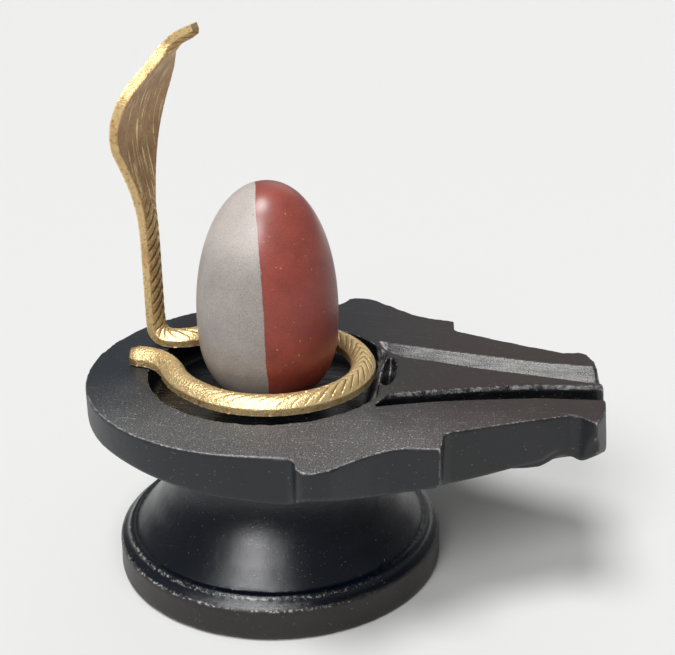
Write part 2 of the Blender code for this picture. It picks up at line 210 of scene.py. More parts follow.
# Stage: the floor's reach, and soft suns as name, direction to the light, degrees across and strength
FLOOR_REACH = 4000.0
SUNS = (
    ("overhead", (-0.14, -0.22, 0.97), 24.0, 2.6),
    ("front", (-0.20, -0.72, 0.66), 26.0, 2.0),
    ("back", (0.10, 0.84, 0.54), 40.0, 0.18),
)


def length_setting(name, description, default):
    return FloatProperty(name=name, description=description, default=default, unit="LENGTH",
                         subtype="DISTANCE")


def angle_setting(name, description, degrees):
    return FloatProperty(name=name, description=description, default=math.radians(degrees), unit="ROTATION",
                         subtype="ANGLE")


def colour_setting(name, description, default):
    return FloatVectorProperty(name=name, description=description, default=default, subtype="COLOR")


class BaseSettings(bpy.types.PropertyGroup):
    """Sizes and colours of the carved black base"""
    top: length_setting("Top", "Height of the disc's flat top", 0.0403)
    disc_radius: length_setting("Disc radius", "Radius of the round disc", 0.036)
    basin_radius: length_setting("Basin radius", "Radius of the basin at its rim", 0.024)
    basin_depth: length_setting("Basin depth", "Depth of the basin's floor below the top", 0.0053)
    channel_depth: length_setting("Channel depth", "Depth of the spout's two channels", 0.0035)
    foot_off_axis: length_setting("Foot off axis", "How far the foot is set towards the spout", 0.001)
    grain: length_setting("Carving size", "Cell size of the carved surface's mesh", 0.00038)
    kept: FloatProperty(name="Kept share", description="Share of the even mesh's triangles that are kept",
                        default=0.5, min=0.1, max=1.0)
    chips: length_setting("Chips", "Depth of the chips along worn edges", 0.00022)
    colour: colour_setting("Stone", "Colour of the black stone behind the spout", (0.007, 0.011, 0.016))
    # Polished foot; its blue tint is painted reflection
    foot_and_reflection_colour: colour_setting("Foot", "Colour of the polished stone above the bead, tinted blue as a painted reflection", (0.003, 0.006, 0.013))
    brown_colour: colour_setting("Spout", "Colour of the black stone at the spout", (0.018, 0.0105, 0.009))
    # Pale colour of rubbed edges and dust, also used for painted highlights and reflections
    worn_and_sheen_colour: colour_setting("Worn edges and sheen", "Colour of rubbed edges, dusty spots and painted sheen", (0.30, 0.29, 0.28))


class StoneSettings(bpy.types.PropertyGroup):
    """Sizes and colours of the stone egg"""
    radius: length_setting("Radius", "Radius of the egg at its widest", 0.0137)
    top: length_setting("Top", "Height of the egg's top", 0.0783)
    foot: length_setting("Foot", "Height of the small flat spot it stands on", 0.0353)
    steps: IntProperty(name="Steps", description="Steps round the egg", default=144, min=24, max=256)
    rows: IntProperty(name="Rows", description="Rows in each half of the egg's height", default=40, min=8,
                      max=96)
    grey: colour_setting("Grey half", "Colour of the grey half", (0.275, 0.246, 0.229))
    red: colour_setting("Red half", "Colour of the brick red half", (0.235, 0.041, 0.027))


class SnakeSettings(bpy.types.PropertyGroup):
    """Sizes and colours of the brass snake"""
    back: length_setting("Back", "Height of the casting's flat back", 0.0406)
    step: length_setting("Step", "Mesh step along the snake", 0.00018)
    scale_pitch: length_setting("Scale pitch", "Spacing of the scale cuts along the body", 0.00225)
    scale_sweep: length_setting("Scale sweep", "How far the middle of a cut leads its ends", 0.0039)
    scale_depth: length_setting("Scale depth", "Depth of the scale cuts", 0.00030)
    colour: colour_setting("Brass", "Colour of the bright brass", (0.90, 0.68, 0.34))
    red_brass: colour_setting("Red brass", "Colour of the redder patches", (0.80, 0.45, 0.21))
    tarnish: colour_setting("Tarnish", "Colour of the brass in its cuts and pits", (0.30, 0.155, 0.055))


class StageSettings(bpy.types.PropertyGroup):
    """Camera, floor and light"""
    lens: FloatProperty(name="Lens", description="Focal length on a 36 mm wide sensor", default=64.51,
                        unit="CAMERA")
    turn: angle_setting("Turn", "Camera's turn from the near side towards the spout", 7.64)
    rise: angle_setting("Rise", "Camera's elevation", 22.29)
    roll: angle_setting("Roll", "Camera's roll", -0.58)
    distance: length_setting("Distance", "Camera's distance from its target", 0.23296)
    target: FloatVectorProperty(name="Target", description="Point in the middle of the picture",
                                default=(0.01325, 0.0, 0.0497), unit="LENGTH", subtype="XYZ")
    floor_colour: colour_setting("Floor", "Colour of the plain floor", (0.60, 0.60, 0.595))
    sky: FloatProperty(name="Room light", description="Strength of the light from all round", default=0.20)


class Level:
    """A number that varies over a surface; Python's operators on it add Math nodes."""

    def __init__(self, finish, socket):
        self.finish = finish
        self.socket = socket

    def math(self, operation, *values):
        node = self.finish.node("ShaderNodeMath", {"operation": operation}, dict(enumerate(values)))
        return Level(self.finish, node.outputs[0])

    def __add__(self, other):
        return self.math("ADD", self, other)

    def __sub__(self, other):
        return self.math("SUBTRACT", self, other)

    def __rsub__(self, other):
        return self.math("SUBTRACT", other, self)

    def __mul__(self, other):
        return self.math("MULTIPLY", self, other)

    __radd__ = __add__
    __rmul__ = __mul__

    def ramp(self, low, high):
        """A smooth step from 0 at low to 1 at high, which may be the smaller."""
        inputs = {"Value": self, "From Min": low, "From Max": high}
        node = self.finish.node("ShaderNodeMapRange", {"interpolation_type": "SMOOTHSTEP"}, inputs)
        return Level(self.finish, node.outputs["Result"])


class Finish:
    """A material being mixed: its nodes and the shader that they feed."""

    def __init__(self, name, **constants):
        self.material = bpy.data.materials.new(name)
        self.material.use_nodes = True
        self.tree = self.material.node_tree
        self.shader = self.tree.nodes["Principled BSDF"]
        for socket, value in constants.items():
            self.shader.inputs[socket.replace("_", " ")].default_value = value
        self.place = self.node("ShaderNodeTexCoord").outputs["Object"]

    def node(self, kind, settings=None, inputs=None):
        """Any node, with its settings and what feeds its inputs."""
        made = self.tree.nodes.new(kind)
        for name, value in (settings or {}).items():
            setattr(made, name, value)
        for name, value in (inputs or {}).items():
            self.feed(made.inputs[name], value)
        return made

    def feed(self, socket, value):
        if isinstance(value, Level):
            value = value.socket
        if isinstance(value, bpy.types.NodeSocket):
            self.tree.links.new(value, socket)
        elif socket.type == "RGBA":
            socket.default_value = (*value, 1.0)
        else:
            socket.default_value = value

    def set(self, **values):
        """Feeds the shader's own sockets."""
        for socket, value in values.items():
            self.feed(self.shader.inputs[socket.replace("_", " ")], value)

    def stretched(self, scale, turn=(0.0, 0.0, 0.0), place=None):
        """A place turned and scaled, so that the grain laid over it is drawn out."""
        inputs = {"Vector": place or self.place, "Rotation": turn, "Scale": scale}
        return self.node("ShaderNodeMapping", None, inputs).outputs["Vector"]

    def grain(self, size, detail=2.0, rough=0.5, place=None):
        """Noise between 0 and 1 whose features are about the given size in millimetres."""
        inputs = {"Vector": place or self.place, "Scale": 1 / (size * MM)}
        inputs.update({"Detail": detail, "Roughness": rough})
        return Level(self, self.node("ShaderNodeTexNoise", None, inputs).outputs["Fac"])

    def cells(self, size):
        """Distance from the nearest of many scattered points, in cells of the given size."""
        inputs = {"Vector": self.place, "Scale": 1 / (size * MM)}
        return Level(self, self.node("ShaderNodeTexVoronoi", None, inputs).outputs["Distance"])

    def axes(self, place=None):
        """The X, Y and Z of a place."""
        split = self.node("ShaderNodeSeparateXYZ", None, {0: place or self.place})
        return [Level(self, split.outputs[axis]) for axis in "XYZ"]

    def height(self, low, high):
        """0 below low and 1 above high, in millimetres above the floor."""
        return self.axes()[2].ramp(low * MM, high * MM)

    def band(self, middle, reach):
        """1 at a height in millimetres, falling to 0 a reach above and below it."""
        return self.height(middle - reach, middle) - self.height(middle, middle + reach)

    def mark(self, name):
        """A value that the piece's mesh carries."""
        node = self.node("ShaderNodeAttribute", {"attribute_name": name})
        return Level(self, node.outputs["Fac"])

    def mix(self, factor, first, second):
        node = self.node("ShaderNodeMix", {"data_type": "RGBA"})
        self.feed(node.inputs[0], factor)
        self.feed(node.inputs[6], first)
        self.feed(node.inputs[7], second)
        return node.outputs[2]

    def shade(self, colour, level):
        """A colour made lighter or darker by a level near 1."""
        grey = self.node("ShaderNodeCombineXYZ", None, {0: level, 1: level, 2: level}).outputs[0]
        node = self.node("ShaderNodeVectorMath", {"operation": "MULTIPLY"}, {0: colour, 1: grey})
        return node.outputs[0]

    def relief(self, level, depth, normal=None):
        """A bump of the given depth in millimetres."""
        inputs = {"Height": level, "Distance": depth * MM, "Strength": 1.0}
        if normal:
            inputs["Normal"] = normal
        return self.node("ShaderNodeBump", None, inputs).outputs["Normal"]


def black_stone(settings):
    finish = Finish("black_stone", IOR=1.5)
    x, y = finish.axes()[:2]
    level = settings.top / MM
    basin_floor = level - settings.basin_depth / MM
    hollow = finish.mark("hollow")
    top = finish.height(level - 0.4, level - 0.1)
    foot = finish.height(WAIST_HEIGHT + 2.6, WAIST_HEIGHT - 1.4)
    polished = foot - finish.height(BEVEL_FOOT + 0.3, BEVEL_FOOT)
    # Painted reflection: the sloping sill between the basin and the pit is paled
    sill = x.ramp(SILL_FOOT * MM, (SILL_FOOT + 1.0) * MM)
    sill -= x.ramp((SILL_TOP - 0.7) * MM, (SILL_TOP - 0.1) * MM)
    sill *= hollow * finish.height(basin_floor + 0.6, basin_floor + 1.6)
    fine = finish.grain(0.24, 2.0, 0.6)
    glints = finish.cells(0.9).ramp(0.20, 0.10)
    broad = finish.grain(9.0, 3.0)
    streak = finish.grain(1.2, 3.0, 0.6, finish.stretched((0.12, 1.0, 1.0)))
    hair = finish.grain(0.5, 2.0, 0.5, finish.stretched((0.10, 1.0, 1.0), (0.0, 0.0, 0.15)))
    hair_across = finish.grain(0.6, 2.0, 0.5, finish.stretched((1.0, 0.1, 1.0), (0.0, 0.0, -0.6)))
    scratches = (hair.ramp(0.64, 0.72) + hair_across.ramp(0.68, 0.74) * 0.6) * (1.0 - 0.7 * polished)
    specks = finish.grain(0.45, 1.0).ramp(0.72, 0.76)
    patchy = finish.grain(1.3, 4.0, 0.7).ramp(0.38, 0.62)
    # Edges paled where the mesh stands out: partly wear, partly a painted highlight along their bevels
    rubbed = finish.mark("wear").ramp(0.15, 0.85) * patchy
    bead_edges = finish.band(BEVEL_FOOT, 0.45) + finish.band(BEAD_EDGE, 0.5)
    # Painted highlight: the bead's edges are paled only on their lit near side
    lit_bead = (y * -1.0 - x * 0.5).ramp(0.0, 34 * MM)
    rubbed += bead_edges * finish.grain(0.6, 3.0, 0.7).ramp(0.46, 0.66) * lit_bead
    # Dust specks on the top, with glints and a brightening towards the near side that are painted sheen
    near_side = (broad * (14 * MM) - y - x.math("ABSOLUTE", x) * 0.25).ramp(-2 * MM, 33 * MM)
    dust_and_sheen = top * (0.16 + fine.ramp(0.30, 0.85) * 0.6 + glints * 0.6) * (0.05 + 0.84 * near_side)
    dust_and_sheen += scratches * (0.03 + 0.12 * top)
    browner = x.ramp(-6 * MM, 45 * MM) * (0.3 + 0.7 * top) + foot * 0.8
    body = finish.mix(browner, (*settings.colour,), (*settings.brown_colour,))
    # The polished flank takes the foot colour, whose blue tint is painted reflection
    body = finish.mix(polished, body, (*settings.foot_and_reflection_colour,))
    # Random tone; painted shade darkens the basin and the channels, and the stone is darker off its top face
    body = finish.shade(body, (0.7 + 0.6 * broad) * (1.0 - 0.6 * hollow) * (0.6 + 0.4 * top))
    lit_slope = hollow * y.ramp(0.0, 2.0 * MM) * x.ramp(23.0 * MM, 26.0 * MM) * streak.ramp(0.2, 0.8)
    lit_slope *= 0.25 + 0.4 * fine.ramp(0.35, 0.65)
    # Paled by wear, dust and specks, and by painted highlights and reflections on the edges, the top, the
    # sill and the far channel's slope
    pale = (rubbed + dust_and_sheen + specks * 0.35 + sill * (0.15 + 0.6 * patchy) + lit_slope).ramp(0.0, 1.0)
    colour = finish.mix(pale, body, (*settings.worn_and_sheen_colour,))
    rough = 0.38 + 0.08 * top + 0.10 * broad - 0.17 * polished + 0.10 * rubbed
    rough += hollow * (streak * 0.5 - 0.38) + 0.2 * sill
    finish.set(Base_Color=colour, Roughness=rough)
    pitted = finish.relief(fine + hollow * streak * 2.0, 0.04)
    finish.set(Normal=finish.relief(scratches, 0.02, pitted))
    return finish.material


def two_coloured_stone(settings):
    finish = Finish("two_coloured_stone", IOR=1.4, Coat_IOR=1.5, Coat_Roughness=0.31)
    x, y, z = finish.axes()
    ripple = finish.grain(7.0, 2.0) * (0.9 * MM) - 0.45 * MM + finish.grain(0.5, 2.0) * (0.16 * MM)
    line = x + 0.20 * y + 0.034 * z - 0.85 * MM + ripple
    red_side = line.ramp(-0.10 * MM, 0.10 * MM)
    fine = finish.grain(0.26, 3.0, 0.6)
    cloud = finish.grain(4.5, 3.0, 0.6)
    polish_and_highlight = finish.height(*STONE_POLISHED_AND_LIT)
    flecks = finish.grain(0.5, 2.0).ramp(0.62, 0.72)
    pits = finish.cells(2.6).ramp(0.075, 0.045) * (0.25 + 0.75 * red_side)
    chips = finish.grain(0.9, 3.0, 0.6).ramp(0.69, 0.72) * red_side
    # Painted highlight: the grey half is lighter towards the top
    grey = finish.shade((*settings.grey,), 0.26 + 0.42 * cloud + 1.1 * fine + 0.45 * polish_and_highlight)
    red = finish.shade((*settings.red,), 0.10 + 0.75 * cloud + 1.05 * fine)
    colour = finish.mix(red_side, grey, red)
    colour = finish.mix(flecks * 0.25, colour, (0.09, 0.06, 0.05))
    colour = finish.mix((pits + chips).ramp(0.0, 1.0) * 0.55, colour, (0.55, 0.38, 0.32))
    coat = 0.3 + red_side * (0.1 + 0.6 * polish_and_highlight)
    finish.set(Base_Color=colour, Roughness=0.46 + 0.18 * fine, Coat_Weight=coat)
    finish.set(Normal=finish.relief(fine - pits * 0.6, 0.02))
    return finish.material


def cast_brass(settings):
    finish = Finish("cast_brass", Metallic=0.75)
    cut = finish.mark("cut")
    dull = finish.mark("dull")
    lie = finish.node("ShaderNodeAttribute", {"attribute_name": "lie"}).outputs["Vector"]
    tail = finish.axes(lie)[0].ramp(GRAINY_TAIL[0] * MM, GRAINY_TAIL[1] * MM)
    fine = finish.grain(0.55, 3.0, 0.7)
    cloud = finish.grain(3.5, 3.0, 0.6)
    patches = finish.grain(2.6, 3.0, 0.6, finish.stretched((1.0, 1.0, 0.6))).ramp(0.56, 0.68)
    long = finish.grain(0.8, 3.0, 0.6, finish.stretched((0.06, 1.0, 1.0), place=lie))
    broken = finish.grain(5.0, 2.0, 0.5, lie).ramp(0.36, 0.52)
    scored = long.ramp(0.55, 0.60) * broken * finish.mark("hood") * 0.7
    pitted = finish.grain(0.3, 2.0, 0.6).ramp(0.50, 0.60) * tail * 0.45
    # Darkened towards the tarnish colour in the cuts, at random, and by the dull mark on the sides, the
    # upright neck and hood, and the tail's tip
    tarnish = cut.ramp(0.1, 0.9) * 1.1 + dull + cloud.ramp(0.45, 0.75) * 0.22
    tarnish += fine.ramp(0.53, 0.68) * 0.42 + pitted
    colour = finish.mix(patches * 0.8, (*settings.colour,), (*settings.red_brass,))
    colour = finish.mix((tarnish - scored).ramp(0.0, 1.2), colour, (*settings.tarnish,))
    finish.set(Base_Color=colour, Roughness=0.22 + 0.24 * fine + 0.15 * dull)
    finish.set(Normal=finish.relief(scored, 0.12, finish.relief(fine * (1.0 + tail), 0.15)))
    return finish.material


def plain_finish(name, colour, roughness):
    finish = Finish(name, Roughness=roughness)
    finish.set(Base_Color=(*colour,))
    return finish.material


def add_object(name, shape, material=None):
    """A bmesh in millimetres as an object in metres, its place in its mesh."""
    bmesh.ops.recalc_face_normals(shape, faces=shape.faces)
    bmesh.ops.scale(shape, vec=(MM, MM, MM), verts=shape.verts)
    mesh = bpy.data.meshes.new(name)
    shape.to_mesh(mesh)
    shape.free()
    obj = bpy.data.objects.new(name, mesh)
    bpy.context.scene.collection.objects.link(obj)
    if material:
        mesh.materials.append(material)
        mesh.shade_smooth()
    return obj


def dress(obj, node):
    """Lets a finished piece stand for a node of the frame."""
    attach(obj, "root")
    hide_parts(node)


def step_up(value, low, high):
    """0 below low, 1 above high and a smooth rise between them."""
    t = min(max((value - low) / (high - low), 0.0), 1.0)
    return t * t * (3 - 2 * t)


def layered(place, layers):
    """Noises of several finenesses at a place, each times its strength, added up."""
    return sum(strength * noise.noise(place * fineness) for fineness, strength in layers)


def smooth_route(points, steps):
    """Points along a smooth curve through the given ones, any number of values in each."""
    ends = [points[0], *points, points[-1]]
    route = []
    for a, b, c, d in zip(ends, ends[1:], ends[2:], ends[3:]):
        for step in range(steps):
            t = step / steps
            route.append(tuple(
                0.5 * (2 * q + (r - p) * t + (2 * p - 5 * q + 4 * r - s) * t ** 2
                       + (3 * q - p - 3 * r + s) * t ** 3)
                for p, q, r, s in zip(a, b, c, d)))
    route.append(tuple(points[-1]))
    return route


def turned(profile, steps):
    """A solid of revolution about Z from (radius, height) points, both ends on the axis."""
    shape = bmesh.new()
    verts = [shape.verts.new((radius, 0.0, height)) for radius, height in profile]
    edges = [shape.edges.new(pair) for pair in zip(verts, verts[1:])]
    bmesh.ops.spin(shape, geom=verts + edges, cent=(0, 0, 0), axis=(0, 0, 1), angle=math.tau, steps=steps,
                   use_merge=True)
    bmesh.ops.remove_doubles(shape, verts=shape.verts, dist=0.001)
    return shape


def prism(plan, bottom, top):
    """A closed plan outline raised from bottom to top."""
    shape = bmesh.new()
    face = shape.faces.new([shape.verts.new((x, y, bottom)) for x, y in plan])
    raised = bmesh.ops.extrude_face_region(shape, geom=[face])["geom"]
    lid = [part for part in raised if isinstance(part, bmesh.types.BMVert)]
    bmesh.ops.translate(shape, vec=(0, 0, top - bottom), verts=lid)
    return shape


def skinned(loops):
    """A closed solid bridged over rings of points and capped at both ends."""
    shape = bmesh.new()
    last_ring = None
    for loop in loops:
        verts = [shape.verts.new(point) for point in loop]
        ring = [shape.edges.new(pair) for pair in zip(verts, verts[1:] + verts[:1])]
        if last_ring:
            bmesh.ops.bridge_loops(shape, edges=last_ring + ring)
        else:
            shape.faces.new(verts)
        last_ring = ring
    shape.faces.new(verts)
    return shape


class BaseShape:
    """The carved base, from the same outlines as the solid that it replaces."""

    def __init__(self, settings):
        self.top = settings.top / MM
        self.disc_radius = settings.disc_radius / MM
        self.basin_radius = settings.basin_radius / MM
        self.basin_floor = self.top - settings.basin_depth / MM
        self.channel_floor = self.top - settings.channel_depth / MM
        self.foot_off_axis = settings.foot_off_axis / MM
        self.grain = settings.grain / MM
        self.chips = settings.chips / MM

    def foot_and_waist(self):
        inside_head = WAIST_HEIGHT + WAIST_OVERLAP
        flank = smooth_route(FOOT_FLANK, FLANK_STEPS)
        shape = turned([(0.0, 0.0), *flank, (WAIST_RADIUS, inside_head), (0.0, inside_head)], FOOT_STEPS)
        bmesh.ops.translate(shape, vec=(self.foot_off_axis, 0, 0), verts=shape.verts)
        return shape

    def head_outline(self):
        """The head in plan, once round."""
        arc = [math.pi * (0.5 + i / DISC_STEPS) for i in range(DISC_STEPS + 1)]
        disc = [(self.disc_radius * math.cos(turn), self.disc_radius * math.sin(turn)) for turn in arc]
        return [*disc, *NEAR_SIDE, *reversed(FAR_SIDE)]

    def underside_height(self, run, whole_run):
        """Height of the underside a run inside its contour; it flattens towards the waist."""
        fall = UNDERSIDE_EDGE - WAIST_HEIGHT
        rate = UNDERSIDE_SLOPE / fall
        return UNDERSIDE_EDGE - fall * (1 - math.exp(-rate * run)) / (1 - math.exp(-rate * whole_run))

    def head_block(self):
        """A block whose underside sweeps up from the waist, wider all round than the head."""
        half = smooth_route(UNDERSIDE_PLAN, UNDERSIDE_STEPS)
        plan = [(x, -y) for x, y in half] + [(x, y) for x, y in reversed(half[1:-1])]
        loops = [[] for ring in range(UNDERSIDE_RINGS + 1 + len(BLANK_OVERHANG))]
        for x, y in plan:
            reach = math.hypot(x, y)
            whole_run = reach - UNDERSIDE_START
            runs = [whole_run * (1 - i / UNDERSIDE_RINGS) for i in range(UNDERSIDE_RINGS + 1)]
            for loop, run in zip(loops, runs + [-over for over in BLANK_OVERHANG]):
                share = (reach - run) / reach
                loop.append((x * share, y * share, self.underside_height(run, whole_run)))
        loops.append([(x, y, self.top + BLANK_ABOVE) for x, y, z in loops[-1]])
        return skinned(loops)

    def basin(self):
        """A cutter for the basin, with its rounded foot and its sloping sill."""
        profile = [(0.0, self.basin_floor)]
        for i in range(BASIN_FILLET_STEPS + 1):
            angle = math.pi / 2 * i / BASIN_FILLET_STEPS
            profile.append((self.basin_radius - BASIN_FILLET * (1 - math.sin(angle)),
                            self.basin_floor + BASIN_FILLET * (1 - math.cos(angle))))
        profile += [(self.basin_radius, self.top + CUT_ABOVE), (0.0, self.top + CUT_ABOVE)]
        shape = turned(profile, BASIN_STEPS)
        slope = Vector((self.top - self.basin_floor, 0.0, SILL_FOOT - SILL_TOP))
        cut = bmesh.ops.bisect_plane(shape, geom=shape.verts[:] + shape.edges[:] + shape.faces[:],
                                     plane_co=(SILL_TOP, 0.0, self.top), plane_no=slope, clear_outer=True)
        rim = [part for part in cut["geom_cut"] if isinstance(part, bmesh.types.BMEdge)]
        bmesh.ops.contextual_create(shape, geom=rim)
        return shape

    def channel(self, rim, tongue):
        """A channel cutter whose rim side slopes down to the floor and whose tongue side is upright."""
        inward = math.copysign(CHANNEL_SLOPE_RUN, tongue[0][1] - rim[0][1])
        loops = []
        levels = ((self.channel_floor, 0.0), (self.top - TONGUE_EDGE, 0.0), (self.top + CUT_ABOVE, 1.0))
        for height, broken in levels:
            shift = inward * (self.top - height) / (self.top - self.channel_floor)
            broken *= math.copysign(TONGUE_EDGE + CUT_ABOVE, inward)
            loops.append([(x, y + shift, height) for x, y in rim]
                         + [(x, y + broken, height) for x, y in reversed(tongue)])
        return skinned(loops)

    def pit(self):
        """An egg-shaped cutter for the pit at the tongue's root."""
        shape = bmesh.new()
        bmesh.ops.create_uvsphere(shape, u_segments=32, v_segments=16, radius=1.0)
        bmesh.ops.scale(shape, vec=PIT_SIZE, verts=shape.verts)
        bmesh.ops.translate(shape, vec=(*PIT_CENTRE, self.top), verts=shape.verts)
        return shape

    def carved(self):
        """All the cuts made and the surface laid over with an even mesh, in millimetres."""
        base = add_object("base_block", self.foot_and_waist())
        head = add_object("head_block", self.head_block())
        walls = prism(self.head_outline(), WAIST_HEIGHT - WAIST_OVERLAP, self.top)
        outline = add_object("head_outline", walls)
        cutters = [
            add_object("basin_cutter", self.basin()),
            add_object("near_channel_cutter", self.channel(NEAR_CHANNEL_RIM, NEAR_CHANNEL_TONGUE)),
            add_object("far_channel_cutter", self.channel(FAR_CHANNEL_RIM, FAR_CHANNEL_TONGUE)),
            add_object("pit_cutter", self.pit()),
        ]
        combine(head, outline, "INTERSECT")
        combine(base, head, "UNION")
        for cutter in cutters:
            combine(base, cutter, "DIFFERENCE")
        cover = base.modifiers.new("even_mesh", "REMESH")
        cover.mode = "VOXEL"
        cover.voxel_size = self.grain * MM
        graph = bpy.context.evaluated_depsgraph_get()
        shape = bmesh.new()
        shape.from_object(base, graph)
        bmesh.ops.scale(shape, vec=(1 / MM, 1 / MM, 1 / MM), verts=shape.verts)
        for obj in (base, head, outline, *cutters):
            bpy.data.objects.remove(obj, do_unlink=True)
        return shape

    def spout_lift(self, place):
        """How far a point by the spout's lower edge is moved up, to give the edge its arch and its lobe."""
        lift = sum(rise * (1 - step_up(abs(place.x - middle), 0.0, reach))
                   for middle, reach, rise in (SPOUT_ARCH, SPOUT_LOBE))
        return lift * step_up(abs(place.y), *SPOUT_EDGE_SIDE) * (1 - step_up(place.z, *SPOUT_EDGE_HEIGHT))

    def end_flare(self, place):
        """How far a point of the spout's end is moved out, so that the end leans out towards its bottom."""
        share = min(max((self.top - place.z) / (self.top - UNDERSIDE_EDGE), 0.0), 1.0)
        return (SPOUT_END_OUT + SPOUT_END_FLARE * share) * step_up(place.x, *SPOUT_END_ZONE)

    def on_broken_edge(self, place):
        """Whether a point is on the broken edge along the tongue's near side."""
        if place.z < self.top - TONGUE_EDGE - 0.1 or place.z > self.top - 0.1:
            return False
        for (x, y), (next_x, next_y) in zip(NEAR_CHANNEL_TONGUE, NEAR_CHANNEL_TONGUE[1:]):
            if x <= place.x < next_x:
                side = y + (next_y - y) * (place.x - x) / (next_x - x)
                return side - 0.3 < place.y < side + TONGUE_EDGE + 0.3
        return False

    def hollow_at(self, place):
        """1 on the walls and floors of the basin and the channels, 0 elsewhere."""
        if not self.channel_floor - 3.0 < place.z < self.top - 0.15:
            return 0.0
        in_basin = place.xy.length < self.basin_radius + 0.4
        past_basin = place.x - NEAR_CHANNEL_RIM[0][0]
        near_rim = NEAR_CHANNEL_RIM[0][1] + NEAR_RIM_CLOSING * past_basin
        far_rim = FAR_CHANNEL_RIM[0][1] - FAR_RIM_CLOSING * past_basin
        between_rims = near_rim < place.y < far_rim
        return float(in_basin or (past_basin > -3.0 and place.x < CHANNELS_END and between_rims))

    def worn(self):
        """The carved shape with its edges rubbed and chipped, and its wear marked on its points."""
        shape = self.carved()
        for _ in range(SMOOTHINGS):
            bmesh.ops.smooth_vert(shape, verts=shape.verts, factor=0.5, use_axis_x=True, use_axis_y=True,
                                  use_axis_z=True)
        shape.normal_update()
        mark_wear(shape, self.grain)
        wear = shape.verts.layers.float["wear"]
        hollow = shape.verts.layers.float.new("hollow")
        for vert in shape.verts:
            place = vert.co
            vert[hollow] = self.hollow_at(place)
            if self.on_broken_edge(place):
                vert[wear] = max(vert[wear], BROKEN_WEAR)
            chip = vert[wear] * self.chips * max(layered(place, CHIP_NOISE), 0.0)
            vert.co = place - vert.normal * (chip - layered(place, LUMP_NOISE))
            vert.co.z = max(vert.co.z + self.spout_lift(place), 0.0)
            vert.co.x += self.end_flare(place)
        return shape


def mark_wear(shape, spacing):
    """Marks how far each point stands out of its neighbours: 1 on a sharp edge, 0 on a flat."""
    layer = shape.verts.layers.float.new("wear")
    raw = []
    for vert in shape.verts:
        around = Vector()
        for edge in vert.link_edges:
            around += edge.other_vert(vert).co
        around /= len(vert.link_edges)
        raw.append(max((vert.co - around).dot(vert.normal) / spacing, 0.0))
    shape.verts.index_update()
    for vert in shape.verts:
        near = [raw[edge.other_vert(vert).index] for edge in vert.link_edges]
        blurred = 0.4 * raw[vert.index] + 0.6 * sum(near) / len(near)
        vert[layer] = min(max(blurred * WEAR_GAIN - WEAR_START, 0.0), 1.0)


def thin_out(obj, share):
    """Keeps a share of an object's triangles, taking away those that change its shape the least."""
    modifier = obj.modifiers.new("thin_out", "DECIMATE")
    modifier.ratio = share
    graph = bpy.context.evaluated_depsgraph_get()
    kept = bpy.data.meshes.new_from_object(obj.evaluated_get(graph), preserve_all_data_layers=True,
                                           depsgraph=graph)
    obj.modifiers.clear()
    obj.data = kept
    kept.shade_smooth()


def combine(obj, other, operation):
    modifier = obj.modifiers.new(operation.lower(), "BOOLEAN")
    modifier.operation = operation
    modifier.object = other
    modifier.solver = "EXACT"


def stone_profile(settings):
    """The egg's outline from its flat spot to its top: two half superellipses that meet at the widest."""
    radius = settings.radius / MM
    floor = settings.foot / MM
    below = STONE_WIDEST - floor
    above = settings.top / MM - STONE_WIDEST
    lift = below * (1 - (1 - (STONE_FLAT / radius) ** STONE_FOOT_FULLNESS) ** (1 / STONE_FOOT_FULLNESS))
    points = [(0.0, floor)]
    for i in range(1, settings.rows + 1):
        angle = math.pi / 2 * i / settings.rows
        share = math.sin(angle) ** (2 / STONE_FOOT_FULLNESS)
        height = STONE_WIDEST - (below + lift) * math.cos(angle) ** (2 / STONE_FOOT_FULLNESS)
        if height > floor:
            points.append((radius * share, height))
        else:
            points[1:] = [(STONE_FLAT, floor)]
    for i in range(settings.rows - 1, -1, -1):
        angle = math.pi / 2 * i / settings.rows
        share = math.sin(angle) ** (2 / STONE_TOP_FULLNESS)
        points.append((radius * share, STONE_WIDEST + above * math.cos(angle) ** (2 / STONE_TOP_FULLNESS)))
    return points


